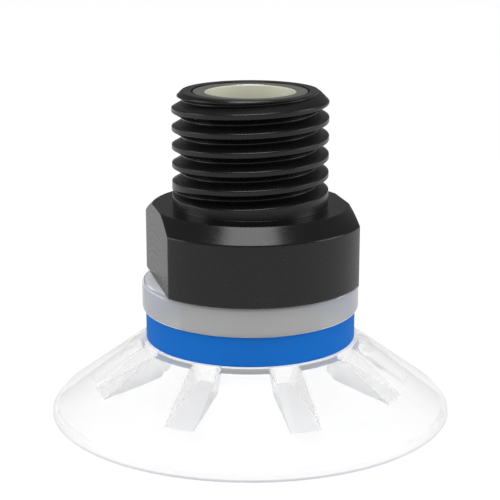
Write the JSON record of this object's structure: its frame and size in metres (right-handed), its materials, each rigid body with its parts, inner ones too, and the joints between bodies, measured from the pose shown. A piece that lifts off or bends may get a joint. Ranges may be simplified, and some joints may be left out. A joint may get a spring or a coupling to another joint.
{
  "type": "flat vacuum cup",
  "caption": "Flat vacuum cup for a robot gripper: clear flexible suction skirt with cleats under a metal fitting with a male pipe thread, wrench flats and a through bore.",
  "frame": {"origin": "centre of the rim plane, where the cup's lip meets the surface that it grips", "axes": "+Z along the axis, from the rim to the thread; the two wrench flats face along X"},
  "size_m": [0.0254, 0.0254, 0.0204],
  "materials": {
    "fitting": "turned and black anodised",
    "bush": "nickel plated, satin",
    "cup": "clear moulded silicone",
    "ring": "blue moulded, satin"
  },
  "bodies": {
    "root": {"threaded_fitting": "fitting", "insert_bush": "bush", "silicone_cup": "cup", "retaining_ring": "ring"}
  },
  "joints": []
}
